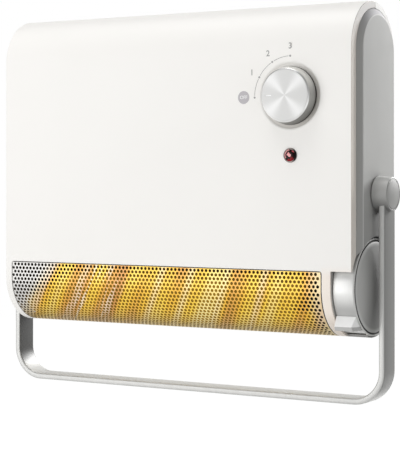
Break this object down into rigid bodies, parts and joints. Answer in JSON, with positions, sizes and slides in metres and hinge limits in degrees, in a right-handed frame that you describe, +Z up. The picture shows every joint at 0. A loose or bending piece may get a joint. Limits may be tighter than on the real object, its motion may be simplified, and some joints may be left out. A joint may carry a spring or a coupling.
{
  "type": "wall panel heater",
  "caption": "Slim wall heater with rounded top and bottom, perforated warm-air outlet, selector knob, indicator light, airflow drum and swing-up towel rail.",
  "frame": {"origin": "centre of the four wall screws, on the wall plane", "axes": "+X to the right seen from the front, +Y into the wall, +Z up"},
  "size_m": [0.4998, 0.1233, 0.4318],
  "materials": {
    "shell_white": "satin white",
    "rear_white": "matte white",
    "cap_grey": "satin silver grey",
    "grille_silver": "satin",
    "chamber_steel": "plain sheet",
    "sheet_steel": "plain sheet",
    "fan_black": "matte",
    "steel_bright": "bright",
    "bronze": "sintered",
    "stator_steel": "stacked sheets",
    "coil_copper": "varnished wire",
    "fin_aluminium": "thin sheet",
    "ceramic": "fired",
    "insulator_black": "matte",
    "terminal_brass": "bright",
    "cutout_black": "moulded",
    "fuse_tan": "sleeved",
    "vane_grey": "matte",
    "bush_white": "matte",
    "washer_dark": "matte",
    "drum_silver": "satin silver",
    "disc_grey": "satin grey",
    "rail_silver": "satin anodised",
    "hub_grey": "satin grey",
    "knob_silver": "satin silver",
    "knob_face": "spun",
    "switch_black": "moulded",
    "bezel_bright": "bright",
    "lens_red": "cut red",
    "lamp_white": "moulded",
    "nut_dark": "moulded",
    "terminal_white": "moulded",
    "grommet_rubber": "matte",
    "lead_brown": "insulation",
    "bracket_zinc": "zinc plated",
    "pad_grey": "matte"
  },
  "bodies": {
    "housing": {"front_shell": "shell_white", "rear_housing": "rear_white", "end_cap_left": "cap_grey", "end_cap_right": "cap_grey", "outlet_grille": "grille_silver", "outlet_chamber": "chamber_steel", "rear_guide": "sheet_steel", "front_guide": "sheet_steel", "fan_frame_left": "sheet_steel", "fan_frame_right": "sheet_steel", "fan_bearing": "bronze", "motor_laminations": "stator_steel", "motor_coil": "coil_copper", "motor_brackets": "bracket_zinc", "heater_side_rails": "fin_aluminium", "heater_fins": "fin_aluminium", "ceramic_bars": "ceramic", "heater_insulators": "insulator_black", "heater_terminals": "terminal_brass", "thermal_cutout": "cutout_black", "thermal_fuse": "fuse_tan", "vane_bush": "bush_white", "bay_plate": "rear_white", "drum_washer": "washer_dark", "pivot_bolts": "steel_bright", "pivot_washers": "washer_dark", "pivot_nuts": "steel_bright", "selector_switch": "switch_black", "switch_nut": "steel_bright", "control_bracket": "bracket_zinc", "shaft_seal": "grommet_rubber", "indicator_bezel": "bezel_bright", "indicator_lens": "lens_red", "indicator_lamp": "lamp_white", "indicator_nut": "nut_dark", "terminal_block": "terminal_white", "cord_clamp": "terminal_white", "cable_grommet": "grommet_rubber", "wiring": "lead_brown", "wall_bracket": "bracket_zinc", "wall_pads": "pad_grey", "housing_screws": "steel_bright"},
    "rail": {"towel_rail": "rail_silver", "hub_left": "hub_grey", "hub_right": "hub_grey", "hub_covers": "hub_grey"},
    "airflow": {"airflow_drum": "drum_silver", "drum_disc": "disc_grey", "air_vane": "vane_grey"},
    "selector": {"selector_knob": "knob_silver", "knob_plate": "knob_face", "selector_shaft": "steel_bright"},
    "fan": {"fan_wheel": "fan_black", "fan_shaft": "steel_bright", "motor_rotor": "stator_steel"}
  },
  "joints": [
    {"name": "rail_swing", "type": "hinge", "parent": "housing", "child": "rail", "pos_m": [0, -0.0545, -0.0905], "axis": [-1, 0, 0], "range_deg": [0, 180]},
    {"name": "airflow_turn", "type": "hinge", "parent": "housing", "child": "airflow", "pos_m": [0, -0.056, -0.19], "axis": [1, 0, 0], "range_deg": [-45, 15]},
    {"name": "selector_turn", "type": "hinge", "parent": "housing", "child": "selector", "pos_m": [0.1553, -0.12, 0.0143], "axis": [0, 1, 0], "range_deg": [0, 90]},
    {"name": "fan_spin", "type": "hinge", "parent": "housing", "child": "fan", "pos_m": [0, -0.0502, -0.058], "axis": [1, 0, 0], "continuous": true}
  ]
}
